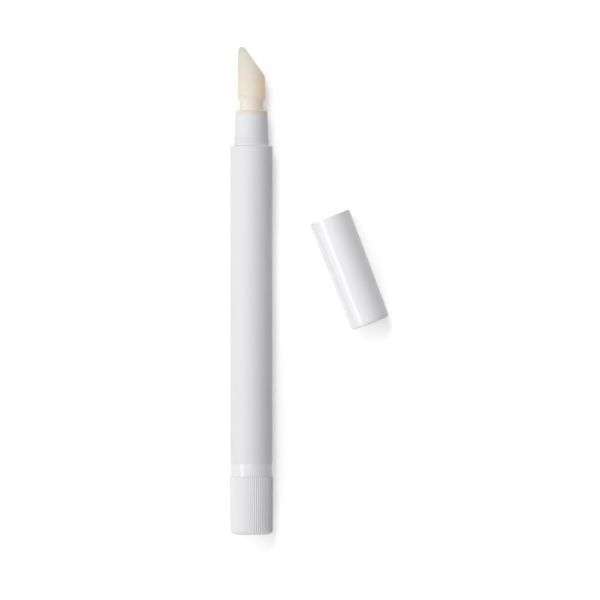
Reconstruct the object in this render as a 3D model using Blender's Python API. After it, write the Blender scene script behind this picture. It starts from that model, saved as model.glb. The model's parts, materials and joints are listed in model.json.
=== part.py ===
"""Cuticle scrub pen: a twist pen with a slanted silicone tip, lying beside its cap.

Units are metres, +Z is up. The pen lies along +Y with its tip forward, the cap lies at its right, and
both rest on z = 0. Each pen piece is turned about the pen's own axis, which is the local Z axis of the
piece, and its local z = 0 is its rear face. Empties on the pen's axis carry the pieces that move: the
knob turns, the threaded rod rides in the knob, and the piston slides. The cap slides along its own axis.
"""

import math

import bmesh
import bpy

# Counts
VISIBLE_SIDES = 40
INNER_SIDES = 36
SMALL_SIDES = 24
TUBE_SIDES = 12
THREAD_STEPS = 12
THREAD_FADE_STEPS = 6
ROUND_STEPS = 3
KNOB_RIBS = 64
CLICK_TEETH = 12
SPRING_TURNS = 4
SPRING_STEPS = 12
EDGE_PASSES = 5

SMOOTH_ANGLE = math.radians(35)     # shading is smooth across edges up to this angle

# Gaps between pieces
SEAM_GAP = 0.0001       # end to end, between outside pieces
FACE_GAP = 0.0001       # end to end, between inside pieces that press on each other
FIT_GAP = 0.00007       # round a piece that is pressed or snapped into another
RUN_GAP = 0.00012       # round a piece that turns or slides in another

# Barrel
PEN_RADIUS = 0.00575
BARREL_LENGTH = 0.08582
BARREL_WALL = 0.0009
BARREL_EDGE = 0.00012
SHOULDER_FALL = 0.00017     # the front face slopes back this far
SHOULDER_ROUND = 0.0003
MOUTH_LENGTH = 0.0056       # the narrowed mouth that the neck fitting snaps through
MOUTH_CONE = 0.0006

# Collar ring, between barrel and knob
COLLAR_LENGTH = 0.00345
COLLAR_INSET = 0.00003      # it is this much smaller than the barrel
COLLAR_EDGE = 0.0001
COLLAR_RIB_LENGTH = 0.0008
COLLAR_RIB_HEIGHT = 0.0002

# Knob shell
KNOB_LENGTH = 0.01565
KNOB_PROUD = 0.00005        # its rib crests stand this far out of the barrel's outline
RIB_DEPTH = 0.00012
KNOB_FLOOR = 0.0013
KNOB_ROUND_RADIAL = 0.0019
KNOB_ROUND_AXIAL = 0.0012
KNOB_EDGE = 0.00015

# Neck fitting and its seal ring
NECK_SHOULDER = 0.00102     # width of the barrel's shoulder round the neck ring
NECK_LENGTH = 0.00188
NECK_EDGE = 0.00012
NECK_LEDGE = 0.00048        # the ring's seat on the barrel's front face
PLUG_WALL = 0.00109
SNAP_LENGTH = 0.0008
SNAP_HEIGHT = 0.00026
SNAP_LEAD = 0.0003
SEAL_WIRE = 0.00027         # radius of the seal ring's section
SEAL_GROOVE_DEPTH = 0.00058
SEAL_GROOVE_LENGTH = 0.0007

# Nose
NOSE_LENGTH = 0.0067
NECK_STEP = 0.00015         # the nose is this much smaller than the neck ring
NOSE_TAPER = 0.00022
NOSE_PROFILE_SHARES = ((1 / 3, 1 / 5), (2 / 3, 1 / 2))     # of its length, and of its taper
NOSE_EDGE = 0.00008
NOSE_SPIGOT_LENGTH = 0.0065
NOSE_SPIGOT_WALL = 0.00084
NOSE_RIM = 0.00096
NOSE_SOCKET_DEPTH = 0.0054
NOSE_FLOOR = 0.0009
NOSE_HOLE = 0.0019          # radius

# Tip carrier and feed tube
CARRIER_TAIL = 0.0006
CARRIER_FLANGE = 0.0007
CARRIER_SPIGOT_LENGTH = 0.0073
CARRIER_SPIGOT = 0.0015     # radius
BARB_HEIGHT = 0.00015
BARB_LENGTH = 0.0006
BARB_INSET = 0.0030         # from the spigot's top
FEED_RADIUS = 0.0008
FEED_BORE = 0.0005
FEED_TAIL = 0.0035          # below the carrier
FEED_NOSE = 0.0020          # above the spigot

# Silicone tip
TIP_RADIUS = 0.00383
TIP_TAPER = 0.00031         # the body's radius falls this much on its way to the apex
TIP_WAIST = 0.00066         # depth of the waist below the body
TIP_SWELL_SHARE = 3 / 4     # of the waist's depth is regained half way up the chamfer
TIP_ROUND_SHARES = (0, 1 / 4, 1 / 2, 3 / 4, 1)     # rings round the slanted face's edge
TIP_NECK_FLARE = 0.00041    # the neck widens this much from the waist to the flange
TIP_FLANGE = 0.00065
TIP_FLANGE_INSET = 0.00007
TIP_FLANGE_ROUND = 0.0002
TIP_NECK_LENGTH = 0.0022
TIP_CHAMFER_LENGTH = 0.0017
TIP_FACE_HEIGHT = 0.0151    # the slanted face meets the axis this far above the nose
TIP_FACE_ANGLE = math.radians(35.3)     # between the slanted face and the axis
APEX_ROUND = 0.00107
CORNER_ROUND = 0.0003
CHANNEL_RADIUS = 0.0005

# Turning mechanism
SLEEVE_WALL = 0.00103
SLEEVE_DEPTH = 0.0327       # in the barrel
SPIGOT_STEP = 0.00006       # the spigot in the knob is this much smaller than the sleeve
SPIGOT_SHARE = 0.35         # of the knob's length is on the spigot
SPIGOT_LEAD = 0.0003
BEAD_INSET = 0.0023         # from the knob's front face
BEAD_LENGTH = 0.0006
BEAD_HEIGHT = 0.00033
BEAD_SLOPE = 0.0003
TOOTH_HEIGHT = 0.0005
TOOTH_RAMP_SHARE = 2 / 3    # of a tooth's pitch
CROWN_LENGTH = 0.0014
KEY_HEIGHT = 0.0005
KEY_LEAD = 0.0003
KEY_OVERRUN = 0.0012        # the keys start this far behind the crown
KEY_HALF_ANGLE = math.radians(15)
KEYWAY_HALF_ANGLE = math.radians(25)
INSERT_WALL = 0.00058
INSERT_FLOOR = 0.0011
INSERT_EDGE = 0.0001
INSERT_CROWN_SPACE = 0.0006
LUG_HEIGHT = 0.00035
TUBE_SPACE = 0.00075        # between the drive tube and the sleeve
TUBE_WALL = 0.00065
TUBE_FLANGE = 0.0008
TUBE_RIM = 0.0010
TUBE_END_PLAY = 0.0004
SPRING_WIRE = 0.00022       # radius

# Nut, rod and piston
NUT_DEPTH = 0.0059          # in the sleeve
NUT_FLANGE = 0.0008
NUT_EDGE = 0.0002
NUT_KEY_LENGTH = 0.0045
NUT_KEY_HEIGHT = 0.0004
NUT_MOUTH = 0.0003          # countersink, in radius
LEAD = 0.0020
THREAD_DEPTH = 0.0005
THREAD_TOP = 0.0006
THREAD_FLANK = 0.00035
THREAD_GAP = 0.0001         # along the axis, at each flank
FLAT_DEPTH = 0.00005        # of the rod's two flats below the thread's root
ROD_REAR_SPACE = 0.0016
ROD_EDGE = 0.0002
ROD_NECK = 0.0012           # radius
ROD_HEAD = 0.00175          # radius
ROD_HEAD_LENGTH = 0.00135
ROD_HEAD_EDGE = 0.0003
SEAT_WALL = 0.0009
SEAT_END = 0.0006
SEAT_RIM_HEIGHT = 0.0004
SEAT_RIM_LENGTH = 0.0008
SEAT_EDGE = 0.0002
SEAT_MOUTH_LENGTH = 0.0010
PISTON_SPACE = 0.0004       # between the nut and the piston
PISTON_LENGTH = 0.0063
PISTON_DOME = 0.0007
PISTON_MIDDLE_SHARE = 1 / 4     # of the dome's height is left to rise inside the seat's radius
PISTON_WAIST = 0.0003       # the body between the lips is this much smaller than they are
LIP_LENGTH = 0.0005
LIP_SLOPE = 0.0004

# Cap and its liner
CAP_LENGTH = 0.0310
CAP_FIT = 0.00012           # round the neck ring, when the cap is on
CAP_WALL = 0.00087          # at the mouth
CAP_DRAFT = 0.00025         # the outside's radius falls by this much towards the closed end
CAP_END = 0.0012
CAP_ROUND = 0.0010
CAP_EDGE = 0.0001
CAP_BEAD_LENGTH = 0.0003    # of the snap bead that holds the cap in front of the neck ring
CAP_BEAD_SLOPE = 0.00025
LINER_SPACE = 0.00022       # round the tip's body, when the cap is on
LINER_END = 0.0008
LINER_EDGE = 0.0001

# Where the cap lies: the centre of its open end beside the pen, and its turn in the plane
CAP_SIDE = 0.0211
CAP_STATION = 0.0859
CAP_TURN = math.radians(21.05)

# Radii that follow
BORE = PEN_RADIUS - BARREL_WALL
NECK_RADIUS = PEN_RADIUS - NECK_SHOULDER
MOUTH_BORE = NECK_RADIUS - NECK_LEDGE
PLUG_RADIUS = MOUTH_BORE - FIT_GAP
PLUG_BORE = PLUG_RADIUS - PLUG_WALL
NOSE_RADIUS = NECK_RADIUS - NECK_STEP
NOSE_TOP_RADIUS = NOSE_RADIUS - NOSE_TAPER
SOCKET_RADIUS = NOSE_TOP_RADIUS - NOSE_RIM
SLEEVE_RADIUS = BORE - FIT_GAP
SLEEVE_BORE = SLEEVE_RADIUS - SLEEVE_WALL
SPIGOT_RADIUS = SLEEVE_RADIUS - SPIGOT_STEP
BEAD_RADIUS = SPIGOT_RADIUS + BEAD_HEIGHT
KNOB_RADIUS = PEN_RADIUS + KNOB_PROUD
KNOB_BORE = SPIGOT_RADIUS + RUN_GAP
INSERT_RADIUS = KNOB_BORE - FIT_GAP
INSERT_BORE = INSERT_RADIUS - INSERT_WALL
TUBE_RADIUS = SLEEVE_BORE - TUBE_SPACE
TUBE_BORE = TUBE_RADIUS - TUBE_WALL
KEY_RADIUS = TUBE_RADIUS + KEY_HEIGHT
ROD_RADIUS = TUBE_BORE - RUN_GAP
ROD_ROOT = ROD_RADIUS - THREAD_DEPTH
ROD_FLAT = ROD_ROOT - FLAT_DEPTH
SEAT_BORE = ROD_HEAD + RUN_GAP
SEAT_RADIUS = SEAT_BORE + SEAT_WALL
CAP_BORE = NECK_RADIUS + CAP_FIT
CAP_RADIUS = CAP_BORE + CAP_WALL

# Stations along the pen that follow, from the knob's end face
COLLAR_Z = KNOB_LENGTH + SEAM_GAP
BARREL_Z = COLLAR_Z + COLLAR_LENGTH + SEAM_GAP
SHOULDER_Z = BARREL_Z + BARREL_LENGTH
NECK_Z = SHOULDER_Z + SEAM_GAP
NOSE_Z = NECK_Z + NECK_LENGTH + SEAM_GAP
NOSE_TOP_Z = NOSE_Z + NOSE_LENGTH
TIP_FLANGE_Z = NOSE_TOP_Z + FACE_GAP
MOUTH_Z = SHOULDER_Z - MOUTH_LENGTH - MOUTH_CONE
PLUG_Z = MOUTH_Z - SNAP_LENGTH
SPIGOT_NOSE_Z = NOSE_Z - NOSE_SPIGOT_LENGTH
SOCKET_Z = NOSE_TOP_Z - NOSE_SOCKET_DEPTH
CARRIER_Z = SOCKET_Z - NOSE_FLOOR - CARRIER_TAIL
CARRIER_TOP_Z = SOCKET_Z + FACE_GAP + CARRIER_FLANGE
SPIGOT_TOP_Z = CARRIER_TOP_Z + CARRIER_SPIGOT_LENGTH
TIP_Z = CARRIER_TOP_Z + FACE_GAP
INSERT_Z = KNOB_FLOOR + FACE_GAP
TUBE_Z = INSERT_Z + INSERT_FLOOR + FACE_GAP
SPIGOT_DEPTH = KNOB_LENGTH * SPIGOT_SHARE
HOUSING_Z = KNOB_LENGTH - SPIGOT_DEPTH
CROWN_Z = HOUSING_Z - FACE_GAP - TOOTH_HEIGHT - CROWN_LENGTH
INSERT_END_Z = CROWN_Z - INSERT_CROWN_SPACE
SLEEVE_END_Z = BARREL_Z + SLEEVE_DEPTH
NUT_Z = SLEEVE_END_Z - NUT_DEPTH
NUT_END_Z = SLEEVE_END_Z + FACE_GAP + NUT_FLANGE
TUBE_END_Z = NUT_Z - TUBE_END_PLAY
ROD_Z = TUBE_Z + ROD_REAR_SPACE
PISTON_Z = NUT_END_Z + PISTON_SPACE


def add_ring(mesh, radius, height, sides):
    """Vertices round the Z axis; radius and height are numbers or functions of the angle."""
    ring = []
    for step in range(sides):
        angle = math.tau * step / sides
        reach = radius(angle) if callable(radius) else radius
        level = height(angle) if callable(height) else height
        ring.append(mesh.verts.new((reach * math.cos(angle), reach * math.sin(angle), level)))
    return ring


def bridge(mesh, ring, other):
    """Faces between two rings, whose counts are equal or one a whole multiple of the other."""
    if len(ring) < len(other):
        ring, other = other, ring
    share = len(ring) // len(other)
    for step, start in enumerate(ring):
        end = ring[(step + 1) % len(ring)]
        near = other[(step + share // 2) // share % len(other)]
        next_near = other[(step + 1 + share // 2) // share % len(other)]
        corners = [start, end, near] if near is next_near else [start, end, next_near, near]
        mesh.faces.new(corners)


def finish(name, mesh, material, parent, station):
    """Turn the built mesh into a shaded object on its parent's axis."""
    bmesh.ops.recalc_face_normals(mesh, faces=mesh.faces)
    data = bpy.data.meshes.new(name)
    mesh.to_mesh(data)
    mesh.free()
    data.materials.append(material)
    data.shade_smooth()
    data.set_sharp_from_angle(angle=SMOOTH_ANGLE)
    item = bpy.data.objects.new(name, data)
    item.parent = parent
    item.location.z = station
    bpy.context.collection.objects.link(item)
    return item


def turned(name, profile, sides, material, parent, station):
    """Solid turned about the Z axis, whose profile is a loop, or runs from the axis to the axis.

    A profile entry is (radius, height), with a count of sides as a third value where it differs, or a
    function that places the vertices of one ring by their angle.
    """
    mesh = bmesh.new()
    rings = []
    for entry in profile:
        if callable(entry):
            points = [entry(math.tau * step / sides) for step in range(sides)]
            rings.append([mesh.verts.new(point) for point in points])
        elif entry[0] == 0:
            rings.append(add_ring(mesh, 0, entry[1], 1))
        else:
            rings.append(add_ring(mesh, entry[0], entry[1], entry[2] if len(entry) > 2 else sides))
    for ring, following in zip(rings, rings[1:]):
        bridge(mesh, ring, following)
    if len(rings[0]) > 1:
        bridge(mesh, rings[-1], rings[0])
    return finish(name, mesh, material, parent, station)


def arc(radius, height, round_radius, start, end, steps=ROUND_STEPS):
    """Points of a round corner about (radius, height), from one angle to another in degrees."""
    angles = [math.radians(start + (end - start) * step / steps) for step in range(steps + 1)]
    return [(radius + round_radius * math.cos(turn), height + round_radius * math.sin(turn))
            for turn in angles]


def keyed(radius, key_radius, half_angle):
    """Outline with two keys or keyways opposite each other."""
    def outline(angle):
        from_key = abs(math.remainder(angle, math.pi))
        return key_radius if from_key < half_angle else radius
    return outline


def flatted(radius, flat):
    """Round outline with two flats at the given distance from the axis."""
    def outline(angle):
        side = abs(math.cos(angle))
        return min(radius, flat / side) if side * radius > flat else radius
    return outline


def click_ramp(angle):
    """Share of a click tooth's height: full at its start, then evenly down along its ramp."""
    phase = round(angle * CLICK_TEETH / math.tau, 6) % 1
    return 1 - min(1, phase / TOOTH_RAMP_SHARE)


def plastic(name, colour, roughness, metallic=0.0):
    """Material with one Principled shader."""
    material = bpy.data.materials.new(name)
    material.use_nodes = True
    shader = material.node_tree.nodes["Principled BSDF"]
    shader.inputs["Base Color"].default_value = (*colour, 1)
    shader.inputs["Roughness"].default_value = roughness
    shader.inputs["Metallic"].default_value = metallic
    material.diffuse_color = (*colour, 1)
    return material


def axis_empty(name, parent, location=(0, 0, 0), rotation=(0, 0, 0)):
    """Empty whose local Z axis is the axis of the pieces it carries."""
    empty = bpy.data.objects.new(name, None)
    empty.parent = parent
    empty.location = location
    empty.rotation_euler = rotation
    bpy.context.collection.objects.link(empty)
    return empty


def add_thread(mesh, start, turns, base, ridge, base_width, top_width):
    """Helical ridge on a round wall, right-handed, between two flat rings; gives back the two rings.

    base and ridge are outlines, which give a radius for an angle. The ridge fades in and out at its two
    ends, and each turn's last row of vertices is the next turn's first.
    """
    steps = THREAD_STEPS
    slope = (base_width - top_width) / 2
    offsets = [0, slope, slope + top_width, base_width]
    last = turns * steps

    def place(index, offset, share):
        angle = math.tau * index / steps
        radius = base(angle) + (ridge(angle) - base(angle)) * share
        height = start + LEAD * index / steps + offset
        return mesh.verts.new((radius * math.cos(angle), radius * math.sin(angle), height))

    edge = [place(index, 0, 0) for index in range(last + steps + 1)]
    rows = []
    for index in range(last + 1):
        share = min(1, index / THREAD_FADE_STEPS, (last - index) / THREAD_FADE_STEPS)
        rows.append([edge[index], place(index, offsets[1], share), place(index, offsets[2], share),
                     place(index, offsets[3], 0), edge[index + steps]])
    for row, following in zip(rows, rows[1:]):
        for low in range(len(offsets)):
            mesh.faces.new([row[low], following[low], following[low + 1], row[low + 1]])

    def flat_ring(first_index, height_index):
        level = start + LEAD * height_index / steps
        ring = []
        for index in range(first_index, first_index + steps):
            angle = math.tau * index / steps
            radius = base(angle)
            ring.append(mesh.verts.new((radius * math.cos(angle), radius * math.sin(angle), level)))
        return ring

    def close_end(ring, boundary, column):
        """Faces between a flat ring, the thread's boundary and the column of vertices that joins them."""
        for step in range(1, steps - 1):
            mesh.faces.new([ring[step], ring[step + 1], boundary[step + 1], boundary[step]])
        mesh.faces.new([column[0], ring[1], boundary[1]])
        apex = boundary[steps - 1]
        mesh.faces.new([apex, ring[steps - 1], column[0]])
        for low, high in zip(column, column[1:]):
            mesh.faces.new([apex, low, high])

    bottom = flat_ring(0, 0)
    mesh.verts.remove(bottom[0])
    bottom[0] = edge[0]
    close_end(bottom, edge[:steps], rows[0])

    top = flat_ring(last, last + steps)
    mesh.verts.remove(top[0])
    top[0] = edge[last + steps]
    backward_ring = [top[0]] + top[:0:-1]
    backward_edge = [edge[last + steps]] + edge[last + steps - 1:last:-1]
    close_end(backward_ring, backward_edge, rows[last][::-1])
    return bottom, top


def chain(mesh, rings):
    """Bridge each ring with the next."""
    for ring, following in zip(rings, rings[1:]):
        bridge(mesh, ring, following)


def thread_width(radius):
    """Axial width of the rod's thread ridge at a radius."""
    return THREAD_TOP + 2 * THREAD_FLANK * (ROD_RADIUS - radius) / THREAD_DEPTH


NUT_GROOVE = ROD_RADIUS + RUN_GAP
NUT_CREST = ROD_ROOT + RUN_GAP
NUT_BASE_WIDTH = LEAD - thread_width(NUT_GROOVE) - 2 * THREAD_GAP
NUT_TOP_WIDTH = LEAD - thread_width(NUT_CREST) - 2 * THREAD_GAP
NUT_TURNS = int((NUT_END_Z - NUT_Z - NUT_EDGE) / LEAD) - 1
ROD_BASE_WIDTH = thread_width(ROD_ROOT)
ROD_THREAD_END_Z = NUT_END_Z - ROD_EDGE


def build_barrel(pen, material):
    front = BARREL_LENGTH
    corner = PEN_RADIUS - SHOULDER_ROUND
    mouth = MOUTH_Z - BARREL_Z
    profile = [
        (BORE, 0),
        (PEN_RADIUS - BARREL_EDGE, 0),
        (PEN_RADIUS, BARREL_EDGE),
        *arc(corner, front - SHOULDER_FALL - SHOULDER_ROUND, SHOULDER_ROUND, 0, 90),
        (NECK_RADIUS, front),
        (MOUTH_BORE, front),
        (MOUTH_BORE, mouth + MOUTH_CONE),
        (BORE, mouth),
    ]
    turned("barrel", profile, VISIBLE_SIDES, material, pen, BARREL_Z)


def build_collar(pen, material):
    outer = PEN_RADIUS - COLLAR_INSET
    bore = SPIGOT_RADIUS + FIT_GAP
    rib = SPIGOT_RADIUS - COLLAR_RIB_HEIGHT + FIT_GAP
    rib_start = (COLLAR_LENGTH - COLLAR_RIB_LENGTH) / 2
    profile = [
        (bore, 0),
        (outer - COLLAR_EDGE, 0),
        (outer, COLLAR_EDGE),
        (outer, COLLAR_LENGTH - COLLAR_EDGE),
        (outer - COLLAR_EDGE, COLLAR_LENGTH),
        (bore, COLLAR_LENGTH),
        (bore, rib_start + COLLAR_RIB_LENGTH),
        (rib, rib_start + COLLAR_RIB_LENGTH),
        (rib, rib_start),
        (bore, rib_start),
    ]
    turned("collar_ring", profile, VISIBLE_SIDES, material, pen, COLLAR_Z)


def build_housing(pen, material):
    """Long sleeve in the barrel, whose rear spigot carries the knob and the click teeth."""
    def teeth(angle):
        return TOOTH_HEIGHT * click_ramp(angle)

    bead = SPIGOT_DEPTH - BEAD_INSET
    groove_half = COLLAR_RIB_LENGTH / 2 + FACE_GAP
    groove = COLLAR_Z + COLLAR_LENGTH / 2 - HOUSING_Z
    groove_radius = SPIGOT_RADIUS - COLLAR_RIB_HEIGHT
    sleeve = BARREL_Z - HOUSING_Z
    end = SLEEVE_END_Z - HOUSING_Z
    keyway = keyed(SLEEVE_BORE, SLEEVE_BORE + NUT_KEY_HEIGHT, KEYWAY_HALF_ANGLE)
    keyway_start = end - NUT_KEY_LENGTH - FACE_GAP
    profile = [
        (SLEEVE_BORE, teeth),
        (SPIGOT_RADIUS, teeth),
        (SPIGOT_RADIUS, bead - BEAD_LENGTH / 2 - BEAD_SLOPE),
        (BEAD_RADIUS, bead - BEAD_LENGTH / 2),
        (BEAD_RADIUS, bead + BEAD_LENGTH / 2),
        (SPIGOT_RADIUS, bead + BEAD_LENGTH / 2 + BEAD_SLOPE),
        (SPIGOT_RADIUS, groove - groove_half),
        (groove_radius, groove - groove_half),
        (groove_radius, groove + groove_half),
        (SPIGOT_RADIUS, groove + groove_half),
        (SPIGOT_RADIUS, sleeve),
        (SLEEVE_RADIUS, sleeve + SPIGOT_LEAD),
        (SLEEVE_RADIUS, end),
        (keyway, end),
        (keyway, keyway_start),
        (SLEEVE_BORE, keyway_start - KEY_LEAD),
    ]
    turned("drive_housing", profile, INNER_SIDES, material, pen, HOUSING_Z)


def build_nut(pen, material):
    """Fixed nut: its inner ridge fits between the rod's, with a gap at each flank."""
    radius = SLEEVE_BORE - FIT_GAP
    keys = keyed(radius, SLEEVE_BORE + NUT_KEY_HEIGHT - FIT_GAP, KEY_HALF_ANGLE)
    length = NUT_END_Z - NUT_Z
    mesh = bmesh.new()
    bottom, top = add_thread(mesh, NUT_EDGE, NUT_TURNS, lambda angle: NUT_GROOVE,
                             lambda angle: NUT_CREST, NUT_BASE_WIDTH, NUT_TOP_WIDTH)
    mouth = NUT_GROOVE + NUT_MOUTH
    outside = [
        (mouth, 0),
        (radius - NUT_EDGE, 0),
        (radius, NUT_EDGE),
        (radius, NUT_DEPTH - NUT_KEY_LENGTH),
        (keys, NUT_DEPTH - NUT_KEY_LENGTH + KEY_LEAD),
        (keys, NUT_DEPTH + FACE_GAP),
        (SLEEVE_RADIUS, NUT_DEPTH + FACE_GAP),
        (SLEEVE_RADIUS, length),
        (mouth, length),
    ]
    rings = [add_ring(mesh, reach, level, INNER_SIDES) for reach, level in outside]
    chain(mesh, [bottom, *rings, top])
    finish("feed_nut", mesh, material, pen, NUT_Z)


def build_rod(rod, material):
    """Threaded rod with two flats, and a head that turns in the piston's seat."""
    nut_ridge = NUT_Z + NUT_EDGE + NUT_BASE_WIDTH / 2
    aligned = nut_ridge + (LEAD - ROD_BASE_WIDTH) / 2
    start = aligned - LEAD * int((aligned - ROD_Z - ROD_EDGE) / LEAD) - ROD_Z
    front = ROD_THREAD_END_Z - ROD_Z
    turns = int((front - ROD_EDGE - start) / LEAD) - 1
    root = flatted(ROD_ROOT, ROD_FLAT)
    head = PISTON_Z + FACE_GAP + SEAT_MOUTH_LENGTH + RUN_GAP - ROD_Z
    mesh = bmesh.new()
    bottom, top = add_thread(mesh, start, turns, root, flatted(ROD_RADIUS, ROD_FLAT),
                             ROD_BASE_WIDTH, THREAD_TOP)
    sides = THREAD_STEPS
    rear = [add_ring(mesh, 0, 0, 1), add_ring(mesh, ROD_ROOT - ROD_EDGE, 0, sides),
            add_ring(mesh, root, ROD_EDGE, sides)]
    nose = [
        (root, front - ROD_EDGE),
        (ROD_ROOT - ROD_EDGE, front),
        (ROD_NECK, front),
        (ROD_NECK, head),
        (ROD_HEAD, head),
        (ROD_HEAD, head + ROD_HEAD_LENGTH - ROD_HEAD_EDGE),
        (ROD_HEAD - ROD_HEAD_EDGE, head + ROD_HEAD_LENGTH),
    ]
    rings = [add_ring(mesh, reach, level, sides) for reach, level in nose]
    rings.append(add_ring(mesh, 0, head + ROD_HEAD_LENGTH, 1))
    chain(mesh, [*rear, bottom])
    chain(mesh, [top, *rings])
    finish("push_rod", mesh, material, rod, ROD_Z)


def build_drive_tube(knob, material):
    """Tube that turns the rod by its flats, keyed in the insert at its flange and in the crown."""
    bore = flatted(TUBE_BORE, ROD_FLAT + RUN_GAP)
    flange = keyed(INSERT_BORE - FIT_GAP, INSERT_BORE + LUG_HEIGHT - FIT_GAP, KEY_HALF_ANGLE)
    keys = keyed(TUBE_RADIUS, KEY_RADIUS, KEY_HALF_ANGLE)
    keys_start = CROWN_Z - KEY_OVERRUN - TUBE_Z
    keys_end = HOUSING_Z - FACE_GAP - TUBE_Z
    end = TUBE_END_Z - TUBE_Z
    rim = SLEEVE_BORE - RUN_GAP
    profile = [
        (bore, 0),
        (flange, 0),
        (flange, TUBE_FLANGE),
        (TUBE_RADIUS, TUBE_FLANGE),
        (TUBE_RADIUS, keys_start),
        (keys, keys_start + KEY_LEAD),
        (keys, keys_end - KEY_LEAD),
        (TUBE_RADIUS, keys_end),
        (TUBE_RADIUS, end - TUBE_RIM),
        (rim, end - TUBE_RIM),
        (rim, end),
        (bore, end),
    ]
    turned("drive_tube", profile, INNER_SIDES, material, knob, TUBE_Z)


def build_crown(knob, material):
    """Toothed ring, drawn as it rides over the crests of the housing's teeth."""
    def teeth(angle):
        return CROWN_LENGTH + TOOTH_HEIGHT * click_ramp(angle)

    bore = keyed(TUBE_RADIUS + RUN_GAP, KEY_RADIUS + RUN_GAP, KEYWAY_HALF_ANGLE)
    outer = KNOB_BORE - RUN_GAP
    profile = [(bore, 0), (outer, 0), (outer, teeth), (bore, teeth)]
    turned("click_crown", profile, INNER_SIDES, material, knob, CROWN_Z)


def build_spring(knob, material):
    """Compression spring between the tube's flange and the crown, as one bent wire."""
    radius = (KEY_RADIUS + INSERT_BORE) / 2
    start = TUBE_Z + TUBE_FLANGE + FACE_GAP + SPRING_WIRE
    end = CROWN_Z - FACE_GAP - SPRING_WIRE
    count = SPRING_TURNS * SPRING_STEPS
    curve = bpy.data.curves.new("click_spring", "CURVE")
    curve.dimensions = "3D"
    curve.bevel_depth = SPRING_WIRE
    curve.bevel_resolution = 1
    curve.use_fill_caps = True
    spline = curve.splines.new("POLY")
    spline.points.add(count)
    for step, point in enumerate(spline.points):
        angle = math.tau * step / SPRING_STEPS
        level = (end - start) * step / count
        point.co = (radius * math.cos(angle), radius * math.sin(angle), level, 1)
    curve.materials.append(material)
    item = bpy.data.objects.new("click_spring", curve)
    item.parent = knob
    item.location.z = start
    bpy.context.collection.objects.link(item)


def build_insert(knob, material):
    """Cup pressed into the knob's bottom, with two keyways for the drive tube's lugs."""
    length = INSERT_END_Z - INSERT_Z
    keyway = keyed(INSERT_BORE, INSERT_BORE + LUG_HEIGHT, KEYWAY_HALF_ANGLE)
    profile = [
        (0, 0),
        (INSERT_RADIUS - INSERT_EDGE, 0),
        (INSERT_RADIUS, INSERT_EDGE),
        (INSERT_RADIUS, length),
        (keyway, length),
        (keyway, INSERT_FLOOR),
        (0, INSERT_FLOOR),
    ]
    turned("knob_insert", profile, INNER_SIDES, material, knob, INSERT_Z)


def build_knob(knob, material):
    """Ribbed shell with a rounded end; the ribs fade out over the round edge."""
    outer_sides = 2 * KNOB_RIBS
    inner_sides = outer_sides // 4
    face = KNOB_RADIUS - KNOB_ROUND_RADIAL

    def ribbed(radius, share):
        def outline(angle):
            return radius - share * RIB_DEPTH * (1 - math.cos(KNOB_RIBS * angle)) / 2
        return outline

    groove = KNOB_LENGTH - BEAD_INSET
    groove_half = BEAD_LENGTH / 2 + FACE_GAP
    groove_radius = BEAD_RADIUS + RUN_GAP
    profile = [(0, 0), (face, 0, inner_sides)]
    for step in range(1, ROUND_STEPS + 1):
        turn = math.radians(90 * step / ROUND_STEPS)
        radius = face + KNOB_ROUND_RADIAL * math.sin(turn)
        height = KNOB_ROUND_AXIAL * (1 - math.cos(turn))
        profile.append((ribbed(radius, math.sin(turn)), height, outer_sides))
    profile += [
        (ribbed(KNOB_RADIUS, 1), KNOB_LENGTH - KNOB_EDGE, outer_sides),
        (KNOB_RADIUS - KNOB_EDGE, KNOB_LENGTH, outer_sides),
        (KNOB_BORE, KNOB_LENGTH),
        (KNOB_BORE, groove + groove_half + BEAD_SLOPE),
        (groove_radius, groove + groove_half),
        (groove_radius, groove - groove_half),
        (KNOB_BORE, groove - groove_half - BEAD_SLOPE),
        (KNOB_BORE, KNOB_FLOOR),
        (0, KNOB_FLOOR),
    ]
    turned("knob_shell", profile, inner_sides, material, knob, 0)


def build_seat(piston, material):
    """Hard seat, snapped into the piston, in which the rod's head turns."""
    mouth = ROD_NECK + RUN_GAP
    head_room = ROD_HEAD_LENGTH + 2 * RUN_GAP
    length = SEAT_MOUTH_LENGTH + head_room + SEAT_END
    rim = SEAT_RADIUS + SEAT_RIM_HEIGHT
    profile = [
        (0, SEAT_MOUTH_LENGTH + head_room),
        (SEAT_BORE, SEAT_MOUTH_LENGTH + head_room),
        (SEAT_BORE, SEAT_MOUTH_LENGTH),
        (mouth, SEAT_MOUTH_LENGTH),
        (mouth, 0),
        (SEAT_RADIUS, 0),
        (SEAT_RADIUS, SEAT_MOUTH_LENGTH - SEAT_EDGE),
        (rim, SEAT_MOUTH_LENGTH),
        (rim, SEAT_MOUTH_LENGTH + SEAT_RIM_LENGTH),
        (SEAT_RADIUS, SEAT_MOUTH_LENGTH + SEAT_RIM_LENGTH + SEAT_EDGE),
        (SEAT_RADIUS - SEAT_EDGE, length),
        (0, length),
    ]
    turned("piston_seat", profile, SMALL_SIDES, material, piston, PISTON_Z + FACE_GAP)
    return length


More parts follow.
